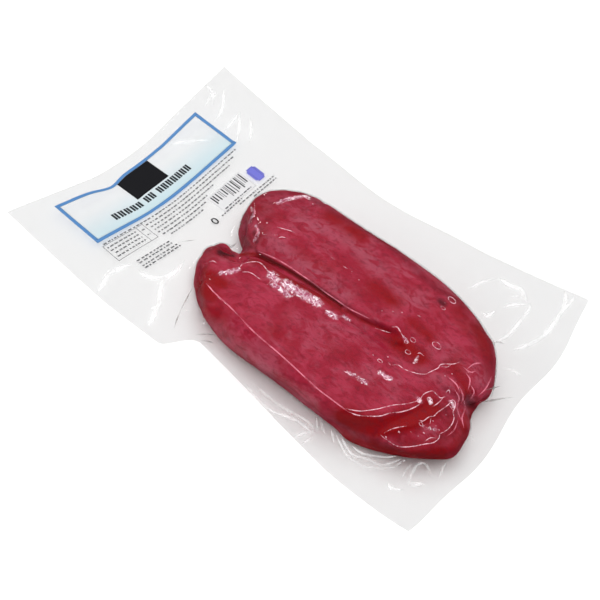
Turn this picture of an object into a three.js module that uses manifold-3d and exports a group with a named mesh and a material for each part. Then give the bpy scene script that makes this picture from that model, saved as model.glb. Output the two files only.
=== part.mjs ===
// Cod roe in a clear vacuum pouch: a pair of joined roe lobes, sealed flat between two webs of film.
// Millimetres, +Z up. The origin is at floor level, under the middle of the pouch.
// +X runs along the pouch, from the printed end to the short end beside the roe.
// A tight sealed pouch is one closed solid: its flat margin, and the roe that fills its middle.

import * as THREE from 'three';
import { mergeVertices } from 'three/addons/utils/BufferGeometryUtils.js';
import Module from 'manifold-3d';

// The pouch
const pouchLength = 254;
const pouchWidth = 160;
const webThickness = 0.8; // both webs together, thick enough to be a workable solid
const marginColumns = 56;
const marginRows = 36;

// How far each edge is drawn in from the pouch's rectangle
const printedEndPull = 4;
const printedEndPullY = -8;
const printedEndPullSpan = 35;
const roeEndCornerPull = 6;
const roeEndWave = 1.5;
const roeEndWaveCrestY = 43;
const roeEndWavePitch = 70;
const farSidePull = 7.5;
const farSidePullX = 5;
const farSidePullSpan = 45;
const nearSidePull = 14;
const nearSidePullStart = -19;
const nearSidePullPeak = -6;
const nearSidePullEnd = 122;
const nearSidePullPower = 1.3;

// How far the margin curls up off the floor
const cornerCurls = [
  { x: -1, y: -1, lift: 12, reachX: 70, reachY: 56 },
  { x: -1, y: 1, lift: 14, reachX: 72, reachY: 66 },
  { x: 1, y: 1, lift: 12, reachX: 66, reachY: 50 },
  { x: 1, y: -1, lift: 12, reachX: 50, reachY: 44 },
];
const curlSharpness = 1.25;
const roeEndLift = 4;
const roeEndLiftStart = 108;
const nearSideLift = 4.5;
const nearSideLiftX = 8;
const nearSideLiftSpan = 34;
const nearSideLiftStartY = -58;

// The roe
const lobeTrim = 0.4; // the roe stands on the middle of the web under it
const nearLobe = {
  centreX: 37.5,
  centreY: -37.8,
  halfLength: 78.3,
  halfWidth: 23.4,
  height: 24.5,
  waist: 9,
  leftHeightLoss: 9,
  rightHeightLoss: 3.5,
  leftBend: 10,
  leftBendPower: 3,
  rightBend: 10,
  rightBendPower: 3,
};
const farLobe = {
  centreX: 35,
  centreY: 6.8,
  halfLength: 78.5,
  halfWidth: 27.4,
  height: 26.5,
  waist: 10,
  leftHeightLoss: 6,
  rightHeightLoss: 3,
  leftBend: 2.5,
  leftBendPower: 3,
  rightBend: -17,
  rightBendPower: 3.4,
};
const planPower = 3.2; // how square the ends of a lobe are, seen from above
const endHeightPower = 5; // how late the top turns down at an end
const endRoundPower = 2.2; // how round it then turns
const endWaist = 0.75; // how much of the waist's height is left at the very tip
const topPower = 2.9; // how square the shoulders of a lobe are
const footPower = 4.5; // how square its foot is
const footDepth = 1; // how far the foot reaches below the floor before it is trimmed
const lobeSides = 32;
const lobeStations = 26;

// Rounded forms fused to the lobes: the stub at the near lobe's tip, and the folded membrane
// that joins the lobes beyond the end of the crease between them
const tipStub = { x: -31, y: -27.5, z: 6, radiusX: 11, radiusY: 8, radiusZ: 10 };
const membrane = { x: 82, y: -16, z: 5, radiusX: 32, radiusY: 12, radiusZ: 18.2 };
const blobColumns = 28;
const blobRows = 16;

const clamp01 = (value) => Math.min(1, Math.max(0, value));
const bell = (distance, span) => Math.exp(-((distance / span) ** 2));

function smoothStep(value, start, end) {
  const t = clamp01((value - start) / (end - start));
  return t * t * (3 - 2 * t);
}

// The pouch's outline: where each edge lies at a place along it

function printedEndX(y) {
  return -pouchLength / 2 + printedEndPull * bell(y - printedEndPullY, printedEndPullSpan);
}

function roeEndX(y) {
  const cornerShare = ((2 * y) / pouchWidth) ** 4;
  const wave = 1 - Math.cos((2 * Math.PI * (y - roeEndWaveCrestY)) / roeEndWavePitch);
  return pouchLength / 2 - roeEndCornerPull * cornerShare - roeEndWave * wave * (1 - cornerShare);
}

function farSideY(x) {
  return pouchWidth / 2 - farSidePull * bell(x - farSidePullX, farSidePullSpan);
}

function nearSideY(x) {
  const rise = smoothStep(x, nearSidePullStart, nearSidePullPeak);
  const left = clamp01((nearSidePullEnd - x) / (nearSidePullEnd - nearSidePullPeak));
  const share = x < nearSidePullPeak ? rise : left ** nearSidePullPower;
  return -pouchWidth / 2 + nearSidePull * share;
}

// The height of the margin's underside over the floor
function marginLift(x, y) {
  let lift = 0;
  for (const curl of cornerCurls) {
    const alongX = 1 - Math.abs((curl.x * pouchLength) / 2 - x) / curl.reachX;
    const alongY = 1 - Math.abs((curl.y * pouchWidth) / 2 - y) / curl.reachY;
    lift += curl.lift * (clamp01(alongX) * clamp01(alongY)) ** curlSharpness;
  }
  lift += roeEndLift * smoothStep(x, roeEndLiftStart, pouchLength / 2) * bell(y, pouchWidth / 3);
  const nearEdge = smoothStep(-y, -nearSideLiftStartY, pouchWidth / 2);
  return lift + nearSideLift * nearEdge * bell(x - nearSideLiftX, nearSideLiftSpan);
}

// A closed sheet over a grid: both faces are split into triangles alike, and a wall joins them.
function sheetGeometry(columns, rows, place) {
  const positions = [];
  for (const side of [0, 1]) {
    for (let row = 0; row <= rows; row += 1) {
      for (let column = 0; column <= columns; column += 1) {
        const [x, y, z] = place(column / columns, row / rows);
        positions.push(x, y, z + side * webThickness);
      }
    }
  }
  const stride = columns + 1;
  const topStart = stride * (rows + 1);
  const indices = [];
  for (let row = 0; row < rows; row += 1) {
    for (let column = 0; column < columns; column += 1) {
      const a = row * stride + column;
      const b = a + 1;
      const c = b + stride;
      const d = a + stride;
      indices.push(a, c, b, a, d, c);
      indices.push(topStart + a, topStart + b, topStart + c);
      indices.push(topStart + a, topStart + c, topStart + d);
    }
  }
  const rim = [];
  for (let column = 0; column < columns; column += 1) rim.push(column);
  for (let row = 0; row < rows; row += 1) rim.push(row * stride + columns);
  for (let column = columns; column > 0; column -= 1) rim.push(rows * stride + column);
  for (let row = rows; row > 0; row -= 1) rim.push(row * stride);
  rim.forEach((a, index) => {
    const b = rim[(index + 1) % rim.length];
    indices.push(a, b, topStart + b, a, topStart + b, topStart + a);
  });
  const geometry = new THREE.BufferGeometry();
  geometry.setAttribute('position', new THREE.Float32BufferAttribute(positions, 3));
  geometry.setIndex(indices);
  return geometry;
}

function marginPlace(u, v) {
  const straightX = (u - 0.5) * pouchLength;
  const straightY = (v - 0.5) * pouchWidth;
  const x = printedEndX(straightY) * (1 - u) + roeEndX(straightY) * u;
  const y = nearSideY(straightX) * (1 - v) + farSideY(straightX) * v;
  return [x, y, marginLift(x, y)];
}

// One point of a lobe's skin: t runs from -1 to 1 along it, and angle round its section.
function lobePoint(lobe, t, angle) {
  const size = Math.abs(t);
  const taper = clamp01(1 - size ** planPower) ** (1 / planPower);
  const bend = t < 0 ? lobe.leftBend : lobe.rightBend;
  const bendPower = t < 0 ? lobe.leftBendPower : lobe.rightBendPower;
  const loss = (t < 0 ? lobe.leftHeightLoss : lobe.rightHeightLoss) * size * size;
  const endDrop = clamp01(1 - size ** endHeightPower) ** (1 / endRoundPower);
  const waist = lobe.waist * (endWaist + (1 - endWaist) * endDrop);
  const top = waist + (lobe.height - loss - waist) * endDrop;
  const across = Math.cos(angle);
  const upward = Math.sin(angle);
  const power = upward > 0 ? topPower : footPower;
  const reach = Math.sign(across) * Math.abs(across) ** (2 / power);
  const rise = Math.abs(upward) ** (2 / power);
  const y = lobe.centreY + bend * size ** bendPower + lobe.halfWidth * taper * reach;
  const depth = (waist + footDepth) * endDrop;
  const z = upward > 0 ? waist + (top - waist) * rise : waist - depth * rise;
  return [lobe.centreX + lobe.halfLength * t, y, z];
}

function lobeGeometry(lobe) {
  const positions = [];
  for (let station = 1; station < lobeStations; station += 1) {
    const t = Math.sin((station / lobeStations - 0.5) * Math.PI);
    for (let side = 0; side < lobeSides; side += 1) {
      positions.push(...lobePoint(lobe, t, (2 * Math.PI * side) / lobeSides));
    }
  }
  const firstPole = (lobeStations - 1) * lobeSides;
  const lastPole = firstPole + 1;
  positions.push(...lobePoint(lobe, -1, 0), ...lobePoint(lobe, 1, 0));
  const indices = [];
  const lastRing = (lobeStations - 2) * lobeSides;
  for (let side = 0; side < lobeSides; side += 1) {
    const next = (side + 1) % lobeSides;
    indices.push(firstPole, next, side);
    indices.push(lastPole, lastRing + side, lastRing + next);
    for (let ring = 0; ring < lastRing; ring += lobeSides) {
      const a = ring + side;
      const b = ring + next;
      indices.push(a, b, b + lobeSides, a, b + lobeSides, a + lobeSides);
    }
  }
  const geometry = new THREE.BufferGeometry();
  geometry.setAttribute('position', new THREE.Float32BufferAttribute(positions, 3));
  geometry.setIndex(indices);
  return geometry;
}

function blobGeometry(blob) {
  const geometry = new THREE.SphereGeometry(1, blobColumns, blobRows);
  geometry.rotateX(Math.PI / 2);
  geometry.scale(blob.radiusX, blob.radiusY, blob.radiusZ);
  geometry.translate(blob.x, blob.y, blob.z);
  return geometry;
}

// Solids are joined and cut by manifold-3d, which takes and gives back plain triangles.
const wasm = await Module();
wasm.setup();

function toSolid(geometry) {
  const bare = geometry.clone();
  bare.deleteAttribute('normal');
  bare.deleteAttribute('uv');
  const welded = mergeVertices(bare, 1e-4);
  return new wasm.Manifold(new wasm.Mesh({
    numProp: 3,
    vertProperties: new Float32Array(welded.attributes.position.array),
    triVerts: new Uint32Array(welded.index.array),
  }));
}

function toGeometry(solid) {
  const mesh = solid.getMesh();
  const geometry = new THREE.BufferGeometry();
  geometry.setAttribute('position', new THREE.Float32BufferAttribute(mesh.vertProperties, 3));
  geometry.setIndex(new THREE.Uint32BufferAttribute(mesh.triVerts, 1));
  geometry.computeVertexNormals();
  return geometry;
}

// Everything above the middle of the web that the roe stands on
function aboveTrim() {
  const box = new THREE.BoxGeometry(pouchLength, pouchWidth, pouchWidth);
  box.translate(0, 0, lobeTrim + pouchWidth / 2);
  return toSolid(box);
}

function sealedPouch() {
  const roe = toSolid(lobeGeometry(nearLobe))
    .add(toSolid(lobeGeometry(farLobe)))
    .add(toSolid(blobGeometry(tipStub)))
    .add(toSolid(blobGeometry(membrane)))
    .intersect(aboveTrim());
  const margin = toSolid(sheetGeometry(marginColumns, marginRows, marginPlace));
  const material = new THREE.MeshStandardMaterial({
    color: 0xa32843,
    roughness: 0.3,
    metalness: 0,
  });
  const mesh = new THREE.Mesh(toGeometry(margin.add(roe)), material);
  mesh.name = 'sealed_pouch';
  return mesh;
}

const group = new THREE.Group();
group.name = 'vacuum_packed_cod_roe';
group.add(sealedPouch());

export default group;
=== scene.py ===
# Cod roe in a clear vacuum pouch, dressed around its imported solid.
# Shapes are worked out in millimetres and become metres where a mesh is made.
# +X runs along the pouch from its printed end, +Z is up, and the floor is at zero.
# A path is a string of pixels, x,y x,y, at which the photograph shows a line.

import math

import bpy
import numpy as np
from mathutils import Matrix, Vector
from mathutils.bvhtree import BVHTree


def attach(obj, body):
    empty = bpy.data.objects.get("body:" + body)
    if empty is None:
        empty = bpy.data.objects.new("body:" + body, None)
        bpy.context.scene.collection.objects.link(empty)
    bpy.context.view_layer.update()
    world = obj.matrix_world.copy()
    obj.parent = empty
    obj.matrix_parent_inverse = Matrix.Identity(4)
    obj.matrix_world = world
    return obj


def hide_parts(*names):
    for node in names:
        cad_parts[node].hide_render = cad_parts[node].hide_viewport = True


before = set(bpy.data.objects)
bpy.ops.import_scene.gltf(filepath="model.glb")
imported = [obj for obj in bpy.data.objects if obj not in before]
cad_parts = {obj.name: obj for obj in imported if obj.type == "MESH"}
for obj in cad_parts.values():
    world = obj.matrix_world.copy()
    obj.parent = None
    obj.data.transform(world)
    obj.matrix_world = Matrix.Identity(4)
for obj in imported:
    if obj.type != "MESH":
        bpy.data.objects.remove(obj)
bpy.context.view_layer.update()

NODE = "sealed_pouch"
MM = 0.001

# The camera, as it stood for the photograph
IMAGE_PX = 600
FOCAL_PX = 835
SENSOR_MM = 36
CAMERA_AZIMUTH = 32.3
CAMERA_ELEVATION = 53.1
CAMERA_ROLL = 8.9
CAMERA_TARGET = (15, -21, 12)
CAMERA_DISTANCE = 402

# The pouch, as in the CAD source
POUCH_LENGTH = 254
POUCH_WIDTH = 160
PRINTED_END_PULL = 4
PRINTED_END_PULL_Y = -8
PRINTED_END_PULL_SPAN = 35
ROE_END_CORNER_PULL = 6
ROE_END_WAVE = 1.5
ROE_END_WAVE_CREST_Y = 43
ROE_END_WAVE_PITCH = 70
FAR_SIDE_PULL = 7.5
FAR_SIDE_PULL_X = 5
FAR_SIDE_PULL_SPAN = 45
NEAR_SIDE_PULL = 14
NEAR_SIDE_PULL_START = -19
NEAR_SIDE_PULL_PEAK = -6
NEAR_SIDE_PULL_END = 122
NEAR_SIDE_PULL_POWER = 1.3
CORNER_CURLS = [
    {"x": -1, "y": -1, "lift": 12, "reach_x": 70, "reach_y": 56},
    {"x": -1, "y": 1, "lift": 14, "reach_x": 72, "reach_y": 66},
    {"x": 1, "y": 1, "lift": 12, "reach_x": 66, "reach_y": 50},
    {"x": 1, "y": -1, "lift": 12, "reach_x": 50, "reach_y": 44},
]
CURL_SHARPNESS = 1.25
ROE_END_LIFT = 4
ROE_END_LIFT_START = 108
NEAR_SIDE_LIFT = 4.5
NEAR_SIDE_LIFT_X = 8
NEAR_SIDE_LIFT_SPAN = 34
NEAR_SIDE_LIFT_START_Y = -58

# The roe's lobes, as in the CAD source, less the film and the air that lie over them
FILM_ROOM = 0.7
NEAR_LOBE = {
    "centre_x": 37.5, "centre_y": -37.8, "half_length": 78.3, "half_width": 23.4,
    "height": 24.5, "waist": 9, "left_loss": 9, "right_loss": 3.5,
    "left_bend": 10, "left_power": 3, "right_bend": 10, "right_power": 3,
}
FAR_LOBE = {
    "centre_x": 35, "centre_y": 6.8, "half_length": 78.5, "half_width": 27.4,
    "height": 26.5, "waist": 10, "left_loss": 6, "right_loss": 3,
    "left_bend": 2.5, "left_power": 3, "right_bend": -17, "right_power": 3.4,
}
PLAN_POWER = 3.2
END_HEIGHT_POWER = 5
END_ROUND_POWER = 2.2
END_WAIST = 0.75
TOP_POWER = 2.9
FOOT_POWER = 4.5
ROE_BASE = 0.35
TIP_STUB = {"centre": (-31, -27.5, 6), "radii": (11, 8, 10)}
MEMBRANE = {"centre": (82, -16, 5), "radii": (32, 12, 18.2)}
ROE_VOXEL = 0.8

# The film
WEB_THICKNESS = 0.12
WEB_GAP = 0.5
FIELD_PITCH = 0.5
FILM_CLEARANCE = 0.3
FILM_BEND_RADIUS = 5
FILM_COLUMNS = 272
FILM_ROWS = 180
ROE_CROWDING = 0.6
# The grid's passes: what its numbers of points are divided by, and the rounds of spreading
GRID_STEPS = [(4, 300), (2, 160), (1, 60)]
LOWER_COLUMNS = 128
LOWER_ROWS = 82


def bell(distance, span):
    return np.exp(-((distance / span) ** 2))


def smooth_step(value, start, end):
    t = np.clip((value - start) / (end - start), 0, 1)
    return t * t * (3 - 2 * t)


def camera_axes():
    """The camera's right, up and back directions."""
    azimuth = math.radians(CAMERA_AZIMUTH)
    elevation = math.radians(CAMERA_ELEVATION)
    roll = math.radians(CAMERA_ROLL)
    back = np.array((
        math.sin(azimuth) * math.cos(elevation),
        -math.cos(azimuth) * math.cos(elevation),
        math.sin(elevation),
    ))
    level = np.array((math.cos(azimuth), math.sin(azimuth), 0))
    rise = np.cross(back, level)
    right = math.cos(roll) * level + math.sin(roll) * rise
    up = math.cos(roll) * rise - math.sin(roll) * level
    return right, up, back


CAMERA_RIGHT, CAMERA_UP, CAMERA_BACK = camera_axes()
CAMERA_PLACE = np.array(CAMERA_TARGET) + CAMERA_BACK * CAMERA_DISTANCE


def value_noise(points, cell, seed):
    """Smooth noise from -1 to 1, its features about one cell apart."""
    size = 32
    lattice = np.random.default_rng(seed).uniform(-1, 1, (size, size, size))
    scaled = points / cell + 500
    corner = np.floor(scaled).astype(int)
    part = scaled - corner
    part = part * part * (3 - 2 * part)
    total = np.zeros(len(points))
    for step in np.ndindex(2, 2, 2):
        weight = np.prod(np.where(step, part, 1 - part), axis=1)
        index = (corner + step) % size
        total += weight * lattice[index[:, 0], index[:, 1], index[:, 2]]
    return total


def smooth_line(path, per_span=6):
    """A Catmull-Rom curve through a path's pixels."""
    points = np.array([pair.split(",") for pair in path.split()], float)
    padded = np.vstack((2 * points[0] - points[1], points, 2 * points[-1] - points[-2]))
    curve = []
    for before, start, end, after in zip(padded, padded[1:], padded[2:], padded[3:]):
        for t in np.arange(per_span) / per_span:
            curve.append(
                start
                + 0.5 * t * (end - before)
                + t * t * (before - 2.5 * start + 2 * end - 0.5 * after)
                + t ** 3 * (1.5 * start - 1.5 * end + 0.5 * (after - before))
            )
    curve.append(points[-1])
    return np.array(curve)


def seen_points(tree, pixels):
    """Where the camera's rays through these pixels meet a surface."""
    found = []
    for x, y in pixels:
        across = (x - IMAGE_PX / 2) / FOCAL_PX
        down = (y - IMAGE_PX / 2) / FOCAL_PX
        direction = across * CAMERA_RIGHT - down * CAMERA_UP - CAMERA_BACK
        hit = tree.ray_cast(Vector(CAMERA_PLACE), Vector(direction).normalized())[0]
        if hit is not None:
            found.append(np.array(hit))
    return np.array(found).reshape(-1, 3)


def distance_to_path(points, tree, path):
    """The distance from each point to the line that a path draws on a surface."""
    line = seen_points(tree, smooth_line(path, 3))
    best = np.full(len(points), np.inf)
    for start, end in zip(line[:-1], line[1:]):
        edge = end - start
        t = np.clip((points - start) @ edge / max(edge @ edge, 1e-9), 0, 1)
        best = np.minimum(best, np.linalg.norm(points - start - t[:, None] * edge, axis=1))
    return best


# Meshes


def new_object(name, points, faces):
    mesh = bpy.data.meshes.new(name)
    mesh.from_pydata((np.asarray(points) * MM).tolist(), [], faces)
    mesh.shade_smooth()
    made = bpy.data.objects.new(name, mesh)
    bpy.context.scene.collection.objects.link(made)
    return made


def joined(name, parts):
    """One object out of several lists of points and faces."""
    all_points = []
    all_faces = []
    count = 0
    for points, faces in parts:
        all_points.append(points)
        all_faces += [tuple(count + index for index in face) for face in faces]
        count += len(points)
    return new_object(name, np.vstack(all_points), all_faces)


def skin(rings, endless=False):
    """The points and faces of a closed skin over rings that have the same number of points."""
    count = len(rings)
    sides = len(rings[0])
    faces = []
    for ring in range(count if endless else count - 1):
        for side in range(sides):
            turn = (side + 1) % sides
            a = ring * sides
            b = (ring + 1) % count * sides
            faces.append((a + side, a + turn, b + turn, b + side))
    if not endless:
        faces.append(tuple(range(sides - 1, -1, -1)))
        faces.append(tuple((count - 1) * sides + side for side in range(sides)))
    return np.vstack(rings), faces


def sheet(upper, lower):
    """The points and faces of a closed sheet between two grids of points."""
    rows, columns = upper.shape[:2]
    count = rows * columns
    faces = []
    for row in range(rows - 1):
        for column in range(columns - 1):
            a = row * columns + column
            face = (a, a + 1, a + columns + 1, a + columns)
            faces.append(face)
            faces.append(tuple(count + index for index in face[::-1]))
    rim = list(range(columns))
    rim += [row * columns + columns - 1 for row in range(1, rows)]
    rim += [(rows - 1) * columns + column for column in range(columns - 2, -1, -1)]
    rim += [row * columns for row in range(rows - 2, 0, -1)]
    for a, b in zip(rim, rim[1:] + rim[:1]):
        faces.append((a, a + count, b + count, b))
    return np.vstack((upper.reshape(-1, 3), lower.reshape(-1, 3))), faces


def points_of(mesh):
    """A mesh's points, in millimetres."""
    flat = np.zeros(len(mesh.vertices) * 3)
    mesh.vertices.foreach_get("co", flat)
    return flat.reshape(-1, 3) / MM


def set_points(mesh, points):
    mesh.vertices.foreach_set("co", (points * MM).ravel())
    mesh.update()


def normals_of(mesh):
    flat = np.zeros(len(mesh.vertices) * 3)
    mesh.vertex_normals.foreach_get("vector", flat)
    return flat.reshape(-1, 3)


def set_share(mesh, name, values):
    """Keeps a number from 0 to 1 at each of the mesh's points, for its material to read."""
    attribute = mesh.attributes.new(name, "FLOAT", "POINT")
    attribute.data.foreach_set("value", np.clip(values, 0, 1))


def tree_of(mesh):
    """A search tree over a mesh, in millimetres."""
    points = [Vector(p) for p in points_of(mesh)]
    faces = [tuple(p.vertices) for p in mesh.polygons]
    return BVHTree.FromPolygons(points, faces)


def finish_piece(piece, material):
    """Every piece rides on the pack's one body and stands for its one solid."""
    piece.data.materials.clear()
    piece.data.materials.append(material)
    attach(piece, "root")
    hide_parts(NODE)
    return piece


# The pouch's outline and the height of its margin over the floor


def printed_end_x(y):
    return -POUCH_LENGTH / 2 + PRINTED_END_PULL * bell(y - PRINTED_END_PULL_Y, PRINTED_END_PULL_SPAN)


def roe_end_x(y):
    corner_share = (2 * y / POUCH_WIDTH) ** 4
    wave = 1 - np.cos(2 * math.pi * (y - ROE_END_WAVE_CREST_Y) / ROE_END_WAVE_PITCH)
    drawn_in = ROE_END_CORNER_PULL * corner_share + ROE_END_WAVE * wave * (1 - corner_share)
    return POUCH_LENGTH / 2 - drawn_in


def far_side_y(x):
    return POUCH_WIDTH / 2 - FAR_SIDE_PULL * bell(x - FAR_SIDE_PULL_X, FAR_SIDE_PULL_SPAN)


def near_side_y(x):
    rise = smooth_step(x, NEAR_SIDE_PULL_START, NEAR_SIDE_PULL_PEAK)
    left = np.clip((NEAR_SIDE_PULL_END - x) / (NEAR_SIDE_PULL_END - NEAR_SIDE_PULL_PEAK), 0, 1)
    share = np.where(x < NEAR_SIDE_PULL_PEAK, rise, left ** NEAR_SIDE_PULL_POWER)
    return -POUCH_WIDTH / 2 + NEAR_SIDE_PULL * share


def pouch_place(flat_x, flat_y):
    """Where a point of the flat pouch comes to lie, seen from above."""
    u = flat_x / POUCH_LENGTH + 0.5
    v = flat_y / POUCH_WIDTH + 0.5
    x = printed_end_x(flat_y) * (1 - u) + roe_end_x(flat_y) * u
    y = near_side_y(flat_x) * (1 - v) + far_side_y(flat_x) * v
    return x, y


def pouch_grid(columns, rows):
    """An even grid over the flat pouch, laid where it comes to lie."""
    flat_x = np.linspace(-0.5, 0.5, columns) * POUCH_LENGTH
    flat_y = np.linspace(-0.5, 0.5, rows) * POUCH_WIDTH
    return pouch_place(*np.meshgrid(flat_x, flat_y))


def margin_lift(x, y):
    """The height of the lower web's underside."""
    lift = np.zeros(np.shape(x))
    for curl in CORNER_CURLS:
        along_x = 1 - np.abs(curl["x"] * POUCH_LENGTH / 2 - x) / curl["reach_x"]
        along_y = 1 - np.abs(curl["y"] * POUCH_WIDTH / 2 - y) / curl["reach_y"]
        share = np.clip(along_x, 0, 1) * np.clip(along_y, 0, 1)
        lift += curl["lift"] * share ** CURL_SHARPNESS
    end_share = smooth_step(x, ROE_END_LIFT_START, POUCH_LENGTH / 2)
    lift += ROE_END_LIFT * end_share * bell(y, POUCH_WIDTH / 3)
    near_share = smooth_step(-y, -NEAR_SIDE_LIFT_START_Y, POUCH_WIDTH / 2)
    return lift + NEAR_SIDE_LIFT * near_share * bell(x - NEAR_SIDE_LIFT_X, NEAR_SIDE_LIFT_SPAN)


# The roe


def lobe_ring(lobe, t, sides=72):
    """The section of a lobe at t, which runs from -1 to 1 along it."""
    size = abs(t)
    hand = "left" if t < 0 else "right"
    taper = max(0, 1 - size ** PLAN_POWER) ** (1 / PLAN_POWER)
    end_drop = max(0, 1 - size ** END_HEIGHT_POWER) ** (1 / END_ROUND_POWER)
    waist = lobe["waist"] * (END_WAIST + (1 - END_WAIST) * end_drop)
    full_height = lobe["height"] - FILM_ROOM - lobe[hand + "_loss"] * size * size
    top = waist + (full_height - waist) * end_drop
    centre_y = lobe["centre_y"] + lobe[hand + "_bend"] * size ** lobe[hand + "_power"]
    angle = np.arange(sides) * 2 * math.pi / sides
    across = np.cos(angle)
    upward = np.sin(angle)
    power = np.where(upward > 0, TOP_POWER, FOOT_POWER)
    reach = np.sign(across) * np.abs(across) ** (2 / power)
    rise = np.abs(upward) ** (2 / power)
    x = np.full(sides, lobe["centre_x"] + (lobe["half_length"] - FILM_ROOM) * t)
    y = centre_y + (lobe["half_width"] - FILM_ROOM) * taper * reach
    above = waist + (top - waist) * rise
    below = waist - (waist - ROE_BASE) * end_drop * rise
    return np.column_stack((x, y, np.where(upward > 0, above, below)))


def blob_ring(blob, tilt, sides=48):
    """The section of an ellipsoid at a tilt, flattened where it would reach below the roe."""
    turn = np.arange(sides) * 2 * math.pi / sides
    unit = np.column_stack((
        math.cos(tilt) * np.cos(turn), math.cos(tilt) * np.sin(turn), np.full(sides, math.sin(tilt))
    ))
    ring = np.array(blob["centre"]) + (np.array(blob["radii"]) - FILM_ROOM) * unit
    ring[:, 2] = np.maximum(ring[:, 2], ROE_BASE)
    return ring


def fused_roe():
    """The lobes, the tip's stub and the joining membrane, fused into one even mesh."""
    stations = np.sin(np.linspace(-0.5, 0.5, 91) * math.pi)
    parts = [skin([lobe_ring(lobe, t) for t in stations]) for lobe in (NEAR_LOBE, FAR_LOBE)]
    tilts = np.linspace(-0.5, 0.5, 31)[1:-1] * math.pi
    parts += [skin([blob_ring(blob, tilt) for tilt in tilts]) for blob in (TIP_STUB, MEMBRANE)]
    rough = joined("roe_rough", parts)
    remesh = rough.modifiers.new("even", "REMESH")
    remesh.mode = "VOXEL"
    remesh.voxel_size = ROE_VOXEL * MM
    remesh.use_smooth_shade = True
    evaluated = rough.evaluated_get(bpy.context.evaluated_depsgraph_get())
    mesh = bpy.data.meshes.new_from_object(evaluated)
    mesh.name = "roe_pair"
    bpy.data.objects.remove(rough)
    roe = bpy.data.objects.new("roe_pair", mesh)
    bpy.context.scene.collection.objects.link(roe)
    return roe


def relax(mesh, rounds):
    """Evens out the roe's mesh without letting it sink through the web it rests on."""
    edges = np.zeros(len(mesh.edges) * 2, int)
    mesh.edges.foreach_get("vertices", edges)
    first, second = edges.reshape(-1, 2).T
    points = points_of(mesh)
    count = len(points)
    degree = np.bincount(edges, minlength=count)[:, None]
    for step in range(rounds):
        total = np.zeros_like(points)
        for axis in range(3):
            total[:, axis] = np.bincount(first, points[second, axis], count)
            total[:, axis] += np.bincount(second, points[first, axis], count)
        share = 0.55 if step % 2 == 0 else -0.5
        points += share * (total / degree - points)
    points[:, 2] = np.maximum(points[:, 2], ROE_BASE)
    set_points(mesh, points)


# Sharp shoulders, where the flat top turns down: a path, its height and its reach
ROE_SHOULDERS = [
    ("205,284 225,301 252,330 281,355 308,380 327,397", 1.3, 5.5),
    ("327,397 346,411 366,416 390,413 415,407 434,392", 1.7, 6.0),
    ("258,203 268,198 285,196 309,200 330,214", 1.2, 5.0),
]

# Paths that more than one table uses
CREASE = "242,254 252,254 265,259 285,269 300,278 320,291 341,306"
SECOND_CREASE = "250,260 265,264 285,277 302,286 320,296 341,310"
CREASE_END = "341,308 362,320 389,332"
FAR_TIP_FACE = "254,202 264,218 258,238"
NEAR_TIP_EDGE = "204,260 214,252 228,254"
POCKET_END = "446,408 452,425 442,442"
POCKET_BASE = "398,440 416,446 434,442"

# Forms of the roe: a path, how far it stands out or is sunk in, and the width of its slope
ROE_FORMS = {
    "far_back_corner": ("256,206 262,200 270,197", 1.8, 5.0),
    "far_back_edge": ("285,195 300,197 314,203", 1.4, 5.0),
    "far_left_end": ("241,214 240,231", -3.4, 4.2),
    "tip_right": ("229,245 236,249 241,255", -5.2, 4.0),
    "tip_left": ("196,268 195,282", -4.2, 5.0),
    "left_foot": ("209,314 222,332 240,348 271,367 299,385 327,407", 2.3, 5.5),
    "near_foot": ("336,428 360,439 392,447", 2.0, 6.0),
    "near_end": ("465,434 457,446", 1.6, 6.0),
    "near_end_foot": ("412,450 432,452 446,451", 3.2, 5.0),
    "right_end": ("486,332 490,345 491,356", 1.3, 5.0),
    "far_side": ("326,212 358,232 390,251 416,273 436,292 456,303", 2.2, 5.0),
    "valley_fill": ("256,262 268,268 285,279 302,290 320,301 341,313", 2.4, 2.6),
    "crease": (CREASE, -2.4, 0.8),
    "second_crease": (SECOND_CREASE, -1.0, 0.8),
    "crease_end": (CREASE_END, -1.0, 1.3),
    "far_lip": ("258,250 275,260 293,271 312,281 330,292 349,304 370,317 390,325", 0.8, 1.3),
    "near_lip": ("262,261 285,273 300,282 320,294 338,307", 0.3, 0.9),
    "right_undercut": ("352,424 376,427 400,419 424,408", -1.0, 3.2),
    "membrane_fold": ("389,363 404,370 421,375 440,366 460,363", -1.0, 1.6),
    "membrane_crest": ("392,327 400,331 405,340 409,352", 1.2, 1.8),
    "end_notch": ("470,403 474,407 479,409 486,402", -4.6, 3.2),
    "end_fill": ("450,383 457,390 463,396", 2.2, 3.2),
    "end_ridge_a": ("460,376 466,388 469,398", 0.9, 1.0),
    "end_ridge_b": ("452,380 460,390 464,400", 0.8, 0.9),
    "end_ridge_c": ("444,386 452,390 458,398", 0.7, 0.9),
    "tip_split": ("196,281 203,278 210,274", -0.9, 1.6),
    "tip_hole": ("219,251 226,253 232,256", -3.4, 2.0),
    "far_dark_spot": ("441,302 443,305", -0.7, 1.5),
    "pocket_top": ("380,434 400,428 420,421 438,412 452,401", 0.6, 1.1),
    "pocket_foot": ("455,407 453,421 441,434 430,443 410,447 386,439", 0.6, 1.1),
    "end_bulge": ("478,368 481,384", 1.2, 5.0),
    "end_fold_a": ("456,372 464,384 466,398", -0.9, 1.3),
    "end_fold_b": ("462,402 459,418 462,432", -0.7, 1.3),
    "end_fold_c": ("448,382 456,388 461,399", -0.7, 1.1),
    "far_end_wrinkle_a": ("249,206 254,216 250,224", -0.9, 1.1),
    "far_end_wrinkle_b": ("255,222 259,232 253,244", -0.9, 1.1),
    "far_end_wrinkle_c": ("262,192 252,200 246,212", -0.6, 1.1),
    "far_flute": ("300,228 330,250 352,268", -0.35, 2.4),
}
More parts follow.
